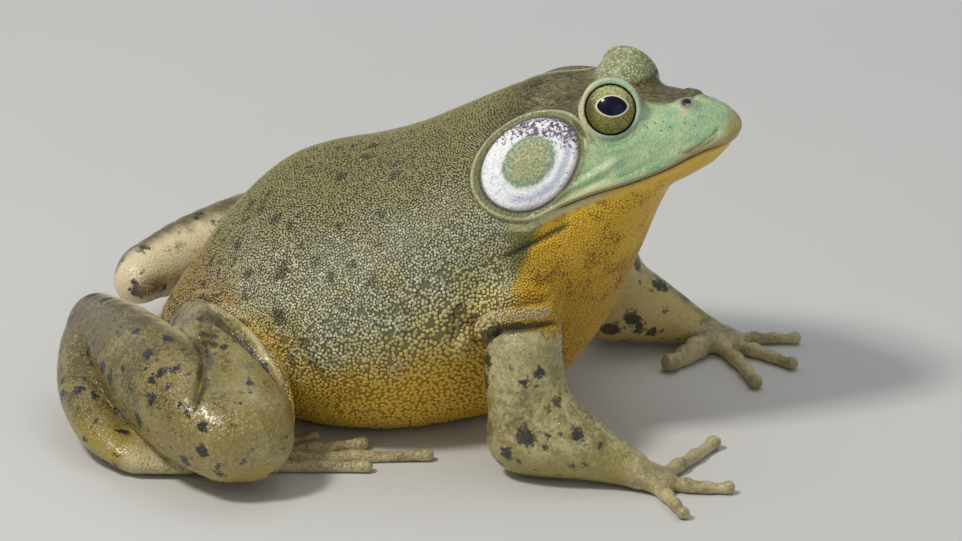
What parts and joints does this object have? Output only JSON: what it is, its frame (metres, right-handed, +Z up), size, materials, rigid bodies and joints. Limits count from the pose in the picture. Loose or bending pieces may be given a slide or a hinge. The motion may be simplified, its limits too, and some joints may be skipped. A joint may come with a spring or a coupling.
{
  "type": "bullfrog",
  "caption": "Adult bullfrog sitting with raised head, hind legs folded and hands spread, as a still life-size model.",
  "frame": {"origin": "on the floor, at the centre of the model's bounding box", "axes": "+X the way the frog faces, +Y its left side, +Z up"},
  "size_m": [0.167, 0.1538, 0.0885],
  "materials": {
    "skin": "moist, finely granular olive-brown frog skin",
    "skin_head": "moist smooth green frog skin",
    "skin_throat": "moist golden yellow frog skin with brown mottling",
    "skin_limb": "wet glossy olive-tan frog skin with dark spots",
    "eardrum": "smooth taut grey and olive membrane",
    "eye": "wet, glossy, gold iris with dark pupil"
  },
  "bodies": {
    "root": {"trunk": "skin", "head": "skin_head", "throat": "skin_throat", "eardrum_right": "eardrum", "eardrum_left": "eardrum", "eye_right": "eye", "eye_left": "eye", "upper_arm_right": "skin_limb", "forearm_right": "skin_limb", "hand_right": "skin_limb", "upper_arm_left": "skin_limb", "forearm_left": "skin_limb", "hand_left": "skin_limb", "thigh_right": "skin_limb", "shank_right": "skin_limb", "tarsus_right": "skin_limb", "foot_right": "skin_limb", "thigh_left": "skin_limb", "shank_left": "skin_limb", "tarsus_left": "skin_limb", "foot_left": "skin_limb"}
  },
  "joints": []
}
